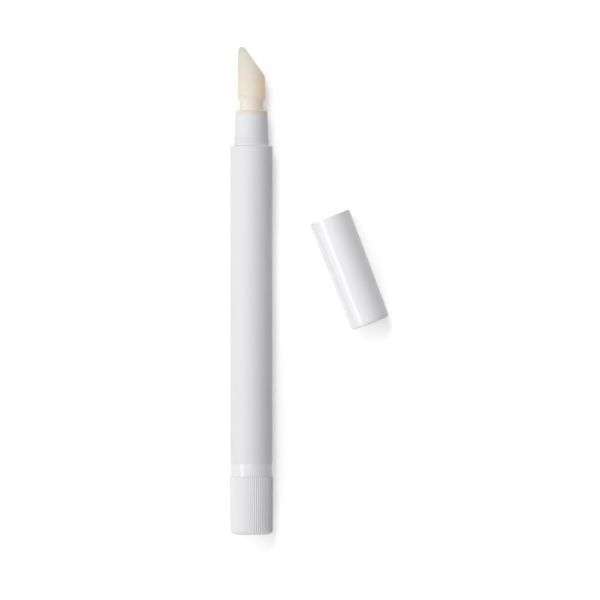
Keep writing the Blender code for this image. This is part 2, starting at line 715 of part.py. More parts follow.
def build_piston(piston, material, seat_length):
    """Soft piston with a wiping lip at each end and a cavity that grips the seat."""
    lip = BORE - FIT_GAP
    waist = lip - PISTON_WAIST
    cavity = SEAT_RADIUS + FIT_GAP
    rim = SEAT_RADIUS + SEAT_RIM_HEIGHT + FIT_GAP
    rim_start = FACE_GAP + SEAT_MOUTH_LENGTH
    depth = FACE_GAP + seat_length + FACE_GAP
    crown = PISTON_LENGTH - PISTON_DOME
    profile = [
        (0, PISTON_LENGTH),
        (SEAT_BORE, PISTON_LENGTH - PISTON_DOME * PISTON_MIDDLE_SHARE),
        (waist, crown),
        (lip, crown - LIP_SLOPE / 2),
        (lip, crown - LIP_SLOPE / 2 - LIP_LENGTH),
        (waist, crown - 2 * LIP_SLOPE - LIP_LENGTH),
        (waist, 2 * LIP_SLOPE + LIP_LENGTH),
        (lip, LIP_SLOPE / 2 + LIP_LENGTH),
        (lip, LIP_SLOPE / 2),
        (waist, 0),
        (cavity, 0),
        (cavity, rim_start - SEAT_EDGE - FACE_GAP),
        (rim, rim_start - FACE_GAP),
        (rim, rim_start + SEAT_RIM_LENGTH + FACE_GAP),
        (cavity, rim_start + SEAT_RIM_LENGTH + SEAT_EDGE + FACE_GAP),
        (cavity, depth),
        (0, depth),
    ]
    turned("piston", profile, INNER_SIDES, material, piston, PISTON_Z)


def build_neck(pen, material):
    """Ring on the barrel's shoulder, with a plug that snaps through the barrel's mouth."""
    ring = NECK_Z - PLUG_Z
    groove = SHOULDER_Z - MOUTH_LENGTH / 2 - PLUG_Z
    groove_radius = PLUG_RADIUS - SEAL_GROOVE_DEPTH
    snap = PLUG_RADIUS + SNAP_HEIGHT
    top = ring + NECK_LENGTH
    profile = [
        (PLUG_BORE, 0),
        (PLUG_RADIUS, 0),
        (snap, SNAP_LEAD),
        (snap, SNAP_LENGTH - SNAP_LEAD),
        (PLUG_RADIUS, SNAP_LENGTH),
        (PLUG_RADIUS, groove - SEAL_GROOVE_LENGTH / 2),
        (groove_radius, groove - SEAL_GROOVE_LENGTH / 2),
        (groove_radius, groove + SEAL_GROOVE_LENGTH / 2),
        (PLUG_RADIUS, groove + SEAL_GROOVE_LENGTH / 2),
        (PLUG_RADIUS, ring),
        (NECK_RADIUS, ring),
        (NECK_RADIUS, top - NECK_EDGE),
        (NECK_RADIUS - NECK_EDGE, top),
        (PLUG_BORE, top),
    ]
    turned("neck_fitting", profile, VISIBLE_SIDES, material, pen, PLUG_Z)


def build_seal(pen, material):
    """Rubber ring in the middle of the groove, between the plug and the barrel's mouth."""
    centre = (PLUG_RADIUS - SEAL_GROOVE_DEPTH + MOUTH_BORE) / 2
    profile = arc(centre, 0, SEAL_WIRE, 0, 360, TUBE_SIDES // 2)[:-1]
    turned("neck_o_ring", profile, INNER_SIDES, material, pen, SHOULDER_Z - MOUTH_LENGTH / 2)


def build_nose(pen, material):
    """Tapered nose with a spigot in the neck fitting and a socket for the tip."""
    spigot = PLUG_BORE - FIT_GAP
    spigot_bore = spigot - NOSE_SPIGOT_WALL
    base = NOSE_SPIGOT_LENGTH
    top = base + NOSE_LENGTH
    socket = top - NOSE_SOCKET_DEPTH
    profile = [
        (spigot_bore, 0),
        (spigot, 0),
        (spigot, base),
        (NOSE_RADIUS, base),
        *[(NOSE_RADIUS - NOSE_TAPER * inward, base + NOSE_LENGTH * along)
          for along, inward in NOSE_PROFILE_SHARES],
        (NOSE_TOP_RADIUS, top - NOSE_EDGE),
        (NOSE_TOP_RADIUS - NOSE_EDGE, top),
        (SOCKET_RADIUS, top),
        (SOCKET_RADIUS, socket),
        (NOSE_HOLE, socket),
        (NOSE_HOLE, socket - NOSE_FLOOR),
        (spigot_bore, socket - NOSE_FLOOR),
    ]
    turned("nose_shell", profile, VISIBLE_SIDES, material, pen, SPIGOT_NOSE_Z)


def build_carrier(pen, material):
    """Hard spigot that stands on the nose's floor and holds the silicone tip by a barb."""
    stem = NOSE_HOLE - FIT_GAP
    flange = SOCKET_RADIUS - FIT_GAP
    bore = FEED_RADIUS + FIT_GAP
    seat = SOCKET_Z + FACE_GAP - CARRIER_Z
    top = seat + CARRIER_FLANGE + CARRIER_SPIGOT_LENGTH
    barb = top - BARB_INSET
    profile = [
        (bore, 0),
        (stem, 0),
        (stem, seat),
        (flange, seat),
        (flange, seat + CARRIER_FLANGE),
        (CARRIER_SPIGOT, seat + CARRIER_FLANGE),
        (CARRIER_SPIGOT, barb),
        (CARRIER_SPIGOT + BARB_HEIGHT, barb),
        (CARRIER_SPIGOT, barb + BARB_LENGTH),
        (CARRIER_SPIGOT, top),
        (bore, top),
    ]
    turned("tip_carrier", profile, SMALL_SIDES, material, pen, CARRIER_Z)


def build_feed_tube(pen, material):
    length = SPIGOT_TOP_Z + FEED_NOSE - CARRIER_Z + FEED_TAIL
    profile = [(FEED_BORE, 0), (FEED_RADIUS, 0), (FEED_RADIUS, length), (FEED_BORE, length)]
    turned("feed_tube", profile, TUBE_SIDES, material, pen, CARRIER_Z - FEED_TAIL)


TIP_FLANGE_TOP = TIP_FLANGE_Z + TIP_FLANGE - TIP_Z
TIP_BODY = TIP_FLANGE_TOP + TIP_NECK_LENGTH + TIP_CHAMFER_LENGTH
TIP_FACE = NOSE_TOP_Z + TIP_FACE_HEIGHT - TIP_Z


def tip_face_level(across):
    """Height of the slanted face at a distance from the axis, towards its low side."""
    return TIP_FACE - across / math.tan(TIP_FACE_ANGLE)


def tip_body_radius(height):
    """The body tapers evenly from its widest ring to the highest point of the slanted face."""
    share = (height - TIP_BODY) / (tip_face_level(-TIP_RADIUS) - TIP_BODY)
    return TIP_RADIUS - TIP_TAPER * share


def tip_edge(angle):
    """Round of the slanted face's edge at an angle: its radius, and its centre's reach and height.

    The round grows from the low corner to the apex, and it touches both the side and the face.
    """
    share = (1 - math.cos(angle)) / 2
    edge_round = CORNER_ROUND + (APEX_ROUND - CORNER_ROUND) * share ** 2
    height = TIP_FACE
    for _ in range(EDGE_PASSES):
        reach = tip_body_radius(height) - edge_round
        height = tip_face_level(reach * math.cos(angle)) - edge_round / math.sin(TIP_FACE_ANGLE)
    return edge_round, reach, height


def tip_edge_ring(share):
    """Ring on the edge's round: share 0 is on the side, share 1 on the slanted face.

    The direction from the round's centre turns from the side's normal to the face's at a steady rate.
    """
    def place(angle):
        edge_round, reach, height = tip_edge(angle)
        side = (math.cos(angle), math.sin(angle), 0)
        face = (math.cos(TIP_FACE_ANGLE), 0, math.sin(TIP_FACE_ANGLE))
        whole = math.acos(side[0] * face[0])
        side_part = math.sin((1 - share) * whole) / math.sin(whole)
        face_part = math.sin(share * whole) / math.sin(whole)
        centre = (reach * side[0], reach * side[1], height)
        return [middle + edge_round * (side_part * a + face_part * b)
                for middle, a, b in zip(centre, side, face)]
    return place


def tip_side_ring(angle):
    """Point of the ring on the body's side, half way from its widest ring to the edge's round."""
    height = (TIP_BODY + tip_edge(angle)[2]) / 2
    reach = tip_body_radius(height)
    return [reach * math.cos(angle), reach * math.sin(angle), height]


def build_tip(pen, material):
    """Silicone tip: stem in the nose's socket, flange on its rim, waisted neck and slanted body."""
    stem = SOCKET_RADIUS - FIT_GAP
    flange = NOSE_TOP_RADIUS - TIP_FLANGE_INSET
    flange_bottom = TIP_FLANGE_Z - TIP_Z
    waist = TIP_RADIUS - TIP_WAIST
    socket = CARRIER_SPIGOT + BARB_HEIGHT + FIT_GAP
    socket_top = SPIGOT_TOP_Z + FACE_GAP - TIP_Z
    tube_hole = FEED_RADIUS + FIT_GAP
    tube_top = SPIGOT_TOP_Z + FEED_NOSE + FACE_GAP - TIP_Z
    chamfer = TIP_FLANGE_TOP + TIP_NECK_LENGTH
    profile = [
        (socket, 0),
        (stem, 0),
        (stem, flange_bottom),
        (flange, flange_bottom),
        (flange, TIP_FLANGE_TOP - TIP_FLANGE_ROUND),
        (flange - TIP_FLANGE_ROUND, TIP_FLANGE_TOP),
        (waist + TIP_NECK_FLARE, TIP_FLANGE_TOP),
        (waist, chamfer),
        (waist + TIP_WAIST * TIP_SWELL_SHARE, chamfer + TIP_CHAMFER_LENGTH / 2),
        (TIP_RADIUS, TIP_BODY),
        tip_side_ring,
        *[tip_edge_ring(share) for share in TIP_ROUND_SHARES],
        (CHANNEL_RADIUS, lambda angle: tip_face_level(CHANNEL_RADIUS * math.cos(angle))),
        (CHANNEL_RADIUS, tube_top),
        (tube_hole, tube_top),
        (tube_hole, socket_top),
        (socket, socket_top),
    ]
    turned("slant_tip", profile, INNER_SIDES, material, pen, TIP_Z)


def build_cap(cap, material):
    """Cap shell, open at its local z = 0, with a bead that snaps over the neck ring."""
    corner = CAP_RADIUS - CAP_DRAFT - CAP_ROUND
    bead = NOSE_Z - SHOULDER_Z
    bead_radius = NOSE_RADIUS + FIT_GAP
    profile = [
        (0, CAP_LENGTH),
        *arc(corner, CAP_LENGTH - CAP_ROUND, CAP_ROUND, 90, 0),
        (CAP_RADIUS, CAP_EDGE),
        (CAP_RADIUS - CAP_EDGE, 0),
        (CAP_BORE + CAP_EDGE, 0),
        (CAP_BORE, CAP_EDGE),
        (CAP_BORE, bead),
        (bead_radius, bead + CAP_BEAD_SLOPE),
        (bead_radius, bead + CAP_BEAD_SLOPE + CAP_BEAD_LENGTH),
        (CAP_BORE, bead + 2 * CAP_BEAD_SLOPE + CAP_BEAD_LENGTH),
        (CAP_BORE, CAP_LENGTH - CAP_END),
        (0, CAP_LENGTH - CAP_END),
    ]
    turned("cap_shell", profile, VISIBLE_SIDES, material, cap, 0)


def build_liner(cap, material):
    """Inner cap, whose rim meets the tip's flange when the cap is on."""
    start = TIP_FLANGE_Z + TIP_FLANGE + FACE_GAP - SHOULDER_Z
    length = CAP_LENGTH - CAP_END - FACE_GAP - start
    outer = CAP_BORE - FIT_GAP
    bore = TIP_RADIUS + LINER_SPACE
    profile = [
        (0, length),
        (outer - LINER_EDGE, length),
        (outer, length - LINER_EDGE),
        (outer, 0),
        (bore, 0),
        (bore, length - LINER_END),
        (0, length - LINER_END),
    ]
    turned("cap_liner", profile, INNER_SIDES, material, cap, start)


def main():
    for item in list(bpy.data.objects):
        bpy.data.objects.remove(item, do_unlink=True)

    satin_white = plastic("satin_white_plastic", (0.80, 0.80, 0.81), 0.38)
    gloss_white = plastic("gloss_white_plastic", (0.82, 0.82, 0.83), 0.10)
    silicone = plastic("cream_silicone", (0.78, 0.68, 0.52), 0.50)
    natural = plastic("natural_polypropylene", (0.70, 0.71, 0.70), 0.35)
    acetal = plastic("white_acetal", (0.76, 0.75, 0.72), 0.30)
    soft = plastic("soft_polyethylene", (0.72, 0.73, 0.74), 0.45)
    rubber = plastic("black_rubber", (0.02, 0.02, 0.02), 0.60)
    steel = plastic("spring_steel", (0.55, 0.55, 0.56), 0.30, 1.0)

    cap_end_side = CAP_SIDE + CAP_LENGTH * math.sin(CAP_TURN)
    corner = CAP_RADIUS - CAP_DRAFT - CAP_ROUND
    corner_side = corner * math.cos(CAP_TURN) - CAP_ROUND * math.sin(CAP_TURN)
    cap_reach = cap_end_side + corner_side + CAP_ROUND
    apex_round, apex_reach, apex_height = tip_edge(math.pi)
    pen_length = TIP_Z + apex_height + apex_round
    pen_x = (KNOB_RADIUS - cap_reach) / 2
    pen_y = -pen_length / 2

    along_y = (-math.pi / 2, 0, 0)
    pen = axis_empty("pen_axis", None, (pen_x, pen_y, KNOB_RADIUS), along_y)
    knob = axis_empty("knob_axis", pen)
    rod = axis_empty("rod_axis", knob)
    piston = axis_empty("piston_axis", pen)
    cap = axis_empty("cap_axis", None, (pen_x + CAP_SIDE, pen_y + CAP_STATION, CAP_RADIUS),
                     (math.pi / 2, 0, CAP_TURN))

    build_barrel(pen, satin_white)
    build_collar(pen, gloss_white)
    build_housing(pen, acetal)
    build_nut(pen, acetal)
    build_neck(pen, satin_white)
    build_seal(pen, rubber)
    build_nose(pen, satin_white)
    build_carrier(pen, natural)
    build_feed_tube(pen, natural)
    build_tip(pen, silicone)

    build_knob(knob, satin_white)
    build_insert(knob, acetal)
    build_drive_tube(knob, acetal)
    build_crown(knob, acetal)
    build_spring(knob, steel)
    build_rod(rod, natural)

    seat_length = build_seat(piston, acetal)
    build_piston(piston, soft, seat_length)

    build_cap(cap, gloss_white)
    build_liner(cap, natural)


main()
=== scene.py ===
"""Looks of a cuticle scrub pen beside its cap: shells, silicone tip, finishes, light and camera."""

import json
import math

import bpy
import numpy as np
from mathutils import Matrix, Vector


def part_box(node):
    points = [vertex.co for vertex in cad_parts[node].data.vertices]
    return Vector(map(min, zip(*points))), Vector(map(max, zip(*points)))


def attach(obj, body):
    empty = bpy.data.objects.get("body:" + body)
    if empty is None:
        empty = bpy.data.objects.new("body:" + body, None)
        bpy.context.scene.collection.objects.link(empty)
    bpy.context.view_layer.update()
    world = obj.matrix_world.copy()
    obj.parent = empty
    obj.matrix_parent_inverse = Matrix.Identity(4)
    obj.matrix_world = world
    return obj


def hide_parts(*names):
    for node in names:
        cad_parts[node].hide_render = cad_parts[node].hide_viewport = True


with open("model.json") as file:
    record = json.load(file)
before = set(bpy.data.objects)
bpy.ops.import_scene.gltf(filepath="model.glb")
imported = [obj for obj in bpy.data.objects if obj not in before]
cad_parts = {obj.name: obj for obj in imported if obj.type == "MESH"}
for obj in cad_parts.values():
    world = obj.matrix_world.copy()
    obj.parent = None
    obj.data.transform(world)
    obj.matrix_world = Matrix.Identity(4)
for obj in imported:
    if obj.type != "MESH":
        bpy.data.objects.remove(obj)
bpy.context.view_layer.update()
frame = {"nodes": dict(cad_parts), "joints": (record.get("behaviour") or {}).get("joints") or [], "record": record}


# Barrel. The tube that holds the gel, moulded in white polypropylene. The mould is finely eroded,
# so the surface has a soft sheen and an even grain that can only just be felt. Bores are given by
# their radius, and stations are places along the pen.
barrel_low, barrel_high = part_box("barrel")
pen_x = (barrel_low.x + barrel_high.x) / 2
pen_z = (barrel_low.z + barrel_high.z) / 2
barrel_rear = barrel_low.y
barrel_front = barrel_high.y
barrel_radius = (barrel_high.x - barrel_low.x) / 2
barrel_bore = 0.00485
mouth_bore = 0.00425
mouth_length = 0.0056
mouth_cone = 0.0006
mouth_round = 0.00008
neck_radius = 0.00473
shoulder_fall = 0.00019
shoulder_round = 0.00032
rear_round = 0.00005
round_sides = 192


def filleted(corners, steps=6):
    """Profile through corners (radius, station, fillet), rounded by arcs that meet their sides.

    With half the corner's angle a, the arc starts fillet / tan a from the corner, and its centre
    lies fillet / sin a from it on the bisector. A point a third of the fillet past each end of an
    arc keeps the sides flat in shading.
    """
    spots = np.array([corner[:2] for corner in corners], float)
    profile = []
    for index, corner in enumerate(corners):
        spot = spots[index]
        fillet = corner[2] if len(corner) > 2 else 0
        if fillet == 0:
            profile.append(spot)
            continue
        before = spots[index - 1] - spot
        after = spots[(index + 1) % len(spots)] - spot
        before = before / np.linalg.norm(before)
        after = after / np.linalg.norm(after)
        half = math.acos(before @ after) / 2
        start = spot + before * fillet / math.tan(half)
        end = spot + after * fillet / math.tan(half)
        middle = (before + after) / np.linalg.norm(before + after)
        centre = spot + middle * fillet / math.sin(half)
        first = (start - centre) / fillet
        last = (end - centre) / fillet
        whole = math.acos(first @ last)
        share = np.linspace(0, 1, steps + 1)[:, None]
        arc = np.sin((1 - share) * whole) * first + np.sin(share * whole) * last
        arc = centre + fillet * arc / math.sin(whole)
        profile += [start + before * fillet / 3, *arc, end + after * fillet / 3]
    return np.array(profile)


def turned_on_pen(profile, sides=round_sides):
    """Grid turned about the pen: x = pen_x + r cos t, y = station, z = pen_z + r sin t."""
    turn = np.linspace(0, math.tau, sides, endpoint=False)
    radius = profile[:, :1]
    station = np.broadcast_to(profile[:, 1:], (len(profile), sides))
    return np.stack([pen_x + radius * np.cos(turn), station, pen_z + radius * np.sin(turn)],
                    axis=-1)


def shell(name, grid, closed=True):
    """Smooth closed mesh over a grid of points, whose columns run round the piece.

    The last row of a closed grid joins its first, and an open grid ends in one point at each end.
    Where the sum of a . (b x c) over the faces is negative, they face inwards and are turned round.
    """
    rows, columns = grid.shape[:2]
    column = np.arange(columns)
    beside = (column + 1) % columns
    if closed:
        points = grid.reshape(-1, 3)
        row = np.arange(rows)[:, None]
        near, far = row * columns, (row + 1) % rows * columns
        fans = np.empty((0, 3), int)
    else:
        points = np.vstack([grid[0, :1], grid[1:-1].reshape(-1, 3), grid[-1, :1]])
        row = np.arange(rows - 3)[:, None]
        near, far = 1 + row * columns, 1 + (row + 1) * columns
        last_ring = 1 + (rows - 3) * columns
        first_point = np.zeros(columns, int)
        last_point = np.full(columns, len(points) - 1)
        fans = np.vstack([
            np.stack([first_point, 1 + column, 1 + beside], axis=-1),
            np.stack([last_ring + beside, last_ring + column, last_point], axis=-1),
        ])
    quads = np.stack([near + column, far + column, far + beside, near + beside], axis=-1)
    quads = quads.reshape(-1, 4)
    corners = points[quads] - points.mean(axis=0)
    if np.einsum("ij,ij->", corners[:, 0], np.cross(corners[:, 1], corners[:, 2])) < 0:
        quads, fans = quads[:, ::-1], fans[:, ::-1]
    mesh = bpy.data.meshes.new(name)
    mesh.from_pydata(points.tolist(), [], [*quads.tolist(), *fans.tolist()])
    mesh.shade_smooth()
    piece = bpy.data.objects.new(name, mesh)
    bpy.context.scene.collection.objects.link(piece)
    return piece


def fit(piece, body, slot, finish, *nodes):
    """Gives a piece its finish, and lets it stand for CAD nodes on a body."""
    piece.data.materials.append(finish)
    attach(piece, body)
    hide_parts(*nodes)


def connect(finish, node, inputs):
    """Sets a shader node's inputs to values, or links them from sockets."""
    for name, value in inputs.items():
        if isinstance(value, bpy.types.NodeSocket):
            finish.node_tree.links.new(value, node.inputs[name])
        else:
            node.inputs[name].default_value = value


def add(finish, kind, inputs, **settings):
    """Adds a shader node with these inputs and settings, and gives back its outputs."""
    node = finish.node_tree.nodes.new(kind)
    for name, value in settings.items():
        setattr(node, name, value)
    connect(finish, node, inputs)
    return node.outputs


def noise(finish, place, scale, detail=2):
    """Noise from 0 to 1, with scale waves a metre."""
    return add(finish, "ShaderNodeTexNoise",
               {"Vector": place, "Scale": scale, "Detail": detail})["Fac"]


def ranged(finish, value, low, high, first, last, **settings):
    """Runs from first to last as the value goes from low to high, and stays there beyond them."""
    return add(finish, "ShaderNodeMapRange",
               {"Value": value, "From Min": low, "From Max": high, "To Min": first, "To Max": last},
               **settings)["Result"]


def mixed(finish, share, first, last):
    """Colour that goes from first to last by a share. Each is three numbers or a socket."""
    first, last = [end if isinstance(end, bpy.types.NodeSocket) else (*end, 1)
                   for end in (first, last)]
    return add(finish, "ShaderNodeMix", {0: share, 6: first, 7: last}, data_type="RGBA")[2]


def raised(finish, height, depth):
    """Normal of a surface that a height from 0 to 1 raises by up to depth metres."""
    return add(finish, "ShaderNodeBump",
               {"Height": height, "Strength": 1, "Distance": depth})["Normal"]


def new_finish(name, colour):
    """Material with one Principled shader, and the place on the pen in metres from its axis."""
    finish = bpy.data.materials.new(name)
    finish.use_nodes = True
    finish.diffuse_color = (*colour, 1)
    shader = finish.node_tree.nodes["Principled BSDF"]
    place = add(finish, "ShaderNodeTexCoord", {})["Object"]
    from_axis = add(finish, "ShaderNodeMapping",
                    {"Vector": place, "Location": (-pen_x, 0, -pen_z)})["Vector"]
    return finish, shader, from_axis


def moulded_plastic(name, colour, cloud, grain, grain_depth, roughness, spread, along=(1, 0.02, 1)):
    """White moulded plastic: faint clouds in its colour, grain from the mould, and fine rubs.

    Roughness wanders by the spread, and it rises by up to half as much again in the rubs, which are
    noise stretched by 1 / along. The grain is noise of grain waves a metre, raised by grain_depth.
    """
    finish, shader, place = new_finish(name, colour)
    clouds = noise(finish, place, scale=110, detail=3)
    patches = noise(finish, place, scale=420, detail=4)
    stretched = add(finish, "ShaderNodeMapping", {"Vector": place, "Scale": along})["Vector"]
    streaks = noise(finish, stretched, scale=5200)
    rubs = ranged(finish, streaks, low=0.62, high=0.72, first=0, last=spread / 2)
    wander = ranged(finish, patches, low=0.3, high=0.7,
                    first=roughness - spread, last=roughness + spread)
    dull = add(finish, "ShaderNodeMath", {0: wander, 1: rubs}, operation="ADD")["Value"]
    connect(finish, shader, {
        "Base Color": mixed(finish, clouds, colour, cloud),
        "Roughness": dull,
        "Normal": raised(finish, noise(finish, place, scale=grain), grain_depth),
    })
    return finish, shader


satin_white, satin_shader = moulded_plastic(
    "satin_white_plastic", colour=(0.825, 0.82, 0.84), cloud=(0.812, 0.807, 0.828),
    grain=7000, grain_depth=0.0000016, roughness=0.38, spread=0.035)
connect(satin_white, satin_shader, {"IOR": 1.49, "Specular IOR Level": 0.2})

barrel_tube = shell("barrel_tube", turned_on_pen(filleted([
    (barrel_bore, barrel_rear),
    (barrel_radius, barrel_rear, rear_round),
    (barrel_radius, barrel_front - shoulder_fall, shoulder_round),
    (neck_radius, barrel_front),
    (mouth_bore, barrel_front, mouth_round),
    (mouth_bore, barrel_front - mouth_length),
    (barrel_bore, barrel_front - mouth_length - mouth_cone),
])))
fit(barrel_tube, "barrel", "satin_white", satin_white, "barrel")


# Neck fitting. A ring on the barrel's shoulder, in the same satin plastic. Its plug is pushed
# through the barrel's mouth and snaps behind it, and a groove in the plug holds the rubber seal.
# Where two pieces meet, a hairline seam is left between them.
neck_low, neck_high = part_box("neck_fitting")
seam = 0.000003
ring_base = barrel_front + seam
ring_foot = 0.00022
ring_round = 0.00019
plug_radius = 0.00418
plug_bore = 0.00309
snap_radius = 0.00444
snap_slope = 0.0003
snap_flat = 0.0002
groove_radius = 0.0036
groove_half = 0.00035
groove_station = barrel_front - mouth_length / 2

# The ring's foot is a quarter round that lies on the falling shoulder: its height above the base is
# foot * (1 - cos t) less the shoulder's fall over foot * (1 - sin t).
shoulder_slope = shoulder_fall / (barrel_radius - neck_radius)
foot_turn = np.linspace(0, math.pi / 2, 7)
foot_reach = ring_foot * (1 - np.sin(foot_turn))
foot_rise = ring_foot * (1 - np.cos(foot_turn)) - shoulder_slope * foot_reach
neck_ring = shell("neck_ring", turned_on_pen(filleted([
    (plug_bore, neck_low.y),
    (plug_radius, neck_low.y),
    (snap_radius, neck_low.y + snap_slope),
    (snap_radius, neck_low.y + snap_slope + snap_flat),
    (plug_radius, neck_low.y + 2 * snap_slope + snap_flat),
    (plug_radius, groove_station - groove_half),
    (groove_radius, groove_station - groove_half),
    (groove_radius, groove_station + groove_half),
    (plug_radius, groove_station + groove_half),
    (plug_radius, ring_base),
    (neck_radius, ring_base),
    *zip(neck_radius + foot_reach, ring_base + foot_rise),
    (neck_radius, neck_high.y, ring_round),
    (plug_bore, neck_high.y),
])))
fit(neck_ring, "barrel", "satin_white", satin_white, "neck_fitting")


# Seal ring. Black nitrile rubber, moulded as a ring and stretched into the plug's groove. It is
# dull, with a paler bloom and a fine grain.
clean_black = (0.014, 0.014, 0.015)
bloomed_black = (0.034, 0.034, 0.036)
rubber, rubber_shader, rubber_place = new_finish("black_rubber", (0.02, 0.02, 0.021))
rubber_bloom = noise(rubber, rubber_place, scale=900, detail=4)
rubber_grain = noise(rubber, rubber_place, scale=9000)
connect(rubber, rubber_shader, {
    "Base Color": mixed(rubber, rubber_bloom, clean_black, bloomed_black),
    "Roughness": ranged(rubber, rubber_bloom, low=0, high=1, first=0.5, last=0.75),
    "Normal": raised(rubber, rubber_grain, depth=0.000003),
})


def dress(finish, *names):
    """Gives CAD nodes that show as they are their finish."""
    for name in names:
        frame["nodes"][name].data.materials.clear()
        frame["nodes"][name].data.materials.append(finish)


dress(rubber, "neck_o_ring")


# Nose. The tapered satin white cone that carries the tip. Its spigot is pressed into the neck
# fitting, and its sides draw in a little faster towards the top.
nose_low, nose_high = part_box("nose_shell")
nose_top = nose_high.y
nose_base = neck_high.y + seam
nose_base_round = 0.00005
nose_radius = 0.00458
nose_taper = 0.00022
nose_bend = 1.5
nose_rim_round = 0.0001
nose_spigot = 0.00302
nose_spigot_bore = 0.00218
nose_socket = 0.0034
nose_socket_round = 0.00005
nose_socket_floor = nose_top - 0.0054
nose_floor = 0.0009
nose_hole = 0.0019
nose_share = np.linspace(0.1, 0.9, 9)
nose_cone = shell("nose_cone", turned_on_pen(filleted([
    (nose_spigot_bore, nose_low.y),
    (nose_spigot, nose_low.y),
    (nose_spigot, nose_base),
    (nose_radius, nose_base, nose_base_round),
    *zip(nose_radius - nose_taper * nose_share ** nose_bend,
         nose_base + nose_share * (nose_top - nose_base)),
    (nose_radius - nose_taper, nose_top, nose_rim_round),
    (nose_socket, nose_top, nose_socket_round),
    (nose_socket, nose_socket_floor),
    (nose_hole, nose_socket_floor),
    (nose_hole, nose_socket_floor - nose_floor),
    (nose_spigot_bore, nose_socket_floor - nose_floor),
])))
fit(nose_cone, "barrel", "satin_white", satin_white, "nose_shell")


# Tip carrier, feed tube and push rod. The barbed spigot that holds the tip, the tube that leads the
# gel through it, and the threaded rod whose head turns in the piston's seat. All are moulded in
# unpigmented polypropylene, which is milky and a little see-through, like clouded glass.
natural, natural_shader = moulded_plastic(
    "natural_polypropylene", colour=(0.70, 0.71, 0.70), cloud=(0.64, 0.655, 0.65),
    grain=3000, grain_depth=0.0000012, roughness=0.33, spread=0.05)
connect(natural, natural_shader, {
    "Subsurface Weight": 0.6, "Subsurface Radius": (1.0, 0.95, 0.85), "Subsurface Scale": 0.0012})
dress(natural, "tip_carrier", "feed_tube", "push_rod")


# Tip. Soft cream silicone with fine scrub grain in it, moulded in one piece: a stem in the nose's
# socket, a flange on its rim, a waisted neck, and a body cut off at a slant, with a gel channel.
tip_low, tip_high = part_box("slant_tip")
flange_base = nose_top + seam
flange_top = flange_base + 0.00065
flange_radius = 0.00429
flange_base_round = 0.00012
flange_top_round = 0.00024
tip_stem = 0.00333
tip_stem_round = 0.0001
tip_socket = 0.00172
tip_socket_top = 0.0074
tip_tube_hole = 0.00087
tip_tube_top = 0.0094
tip_waist = 0.00317
tip_radius = 0.00383
tip_taper = 0.00031
tip_flare = 0.00041
tip_flare_round = 0.00012
tip_neck_length = 0.0022
tip_chamfer_length = 0.0017
tip_neck_top = flange_top + tip_neck_length
tip_body = tip_neck_top + tip_chamfer_length
tip_face = nose_top + 0.0151
tip_slant = math.radians(35.3)
apex_round = 0.00107
corner_round = 0.00025
channel_radius = 0.0005
tip_sides = 160
tip_turn = np.linspace(0, math.tau, tip_sides, endpoint=False)


def face_level(across):
    """Station of the slanted face: face - across / tan(slant), across running to its low side."""
    return tip_face - across / math.tan(tip_slant)


def body_radius(station):
    """Radius of the body, which falls evenly from its widest ring to the face's highest point."""
    return tip_radius - tip_taper * (station - tip_body) / (face_level(-tip_radius) - tip_body)


# The neck flares to the flange with the power 1.5 of its share, and the chamfer widens from it to
# the body as 1 - (1 - share) squared.
neck_share = np.linspace(0.12, 1, 8)
chamfer_share = np.linspace(0.125, 1, 8)
tip_foot = filleted([
    (tip_socket, tip_low.y),
    (tip_stem, tip_low.y, tip_stem_round),
    (tip_stem, flange_base),
    (flange_radius, flange_base, flange_base_round),
    (flange_radius, flange_top, flange_top_round),
    (tip_waist + tip_flare, flange_top, tip_flare_round),
    *zip(tip_waist + tip_flare * (1 - neck_share) ** 1.5,
         flange_top + tip_neck_length * neck_share),
    *zip(tip_waist + (tip_radius - tip_waist) * (1 - (1 - chamfer_share) ** 2),
         tip_neck_top + tip_chamfer_length * chamfer_share),
], steps=8)

# The face's edge is rounded. The round grows from the low corner to the apex with the fourth power
# of (1 - cos t) / 2, and its centre is found by a few turns of: reach = body radius - round,
# station = face level - round / sin(slant).
edge_round = corner_round + (apex_round - corner_round) * ((1 - np.cos(tip_turn)) / 2) ** 4
edge_station = np.full(tip_sides, tip_face)
for _ in range(6):
    edge_reach = body_radius(edge_station) - edge_round
    edge_station = face_level(edge_reach * np.cos(tip_turn)) - edge_round / math.sin(tip_slant)
side_share = np.linspace(0.08, 0.98, 14)[:, None]
side_station = tip_body + side_share * (edge_station - tip_body)
side_radius = body_radius(side_station)

# Round the edge, the way out turns evenly from the side's to the face's.
side_way = np.stack([np.cos(tip_turn), np.sin(tip_turn), 0 * tip_turn], axis=-1)
face_way = np.array([math.cos(tip_slant), 0, math.sin(tip_slant)])
whole_turn = np.arccos(side_way @ face_way)
round_share = np.linspace(0, 1, 15)[:, None]
side_part = np.sin((1 - round_share) * whole_turn) / np.sin(whole_turn)
face_part = np.sin(round_share * whole_turn) / np.sin(whole_turn)
edge_across = (edge_reach * np.cos(tip_turn)
               + edge_round * (side_part * side_way[:, 0] + face_part * face_way[0]))
edge_up = edge_reach * np.sin(tip_turn) + edge_round * side_part * side_way[:, 1]
edge_along = edge_station + edge_round * face_part * face_way[2]

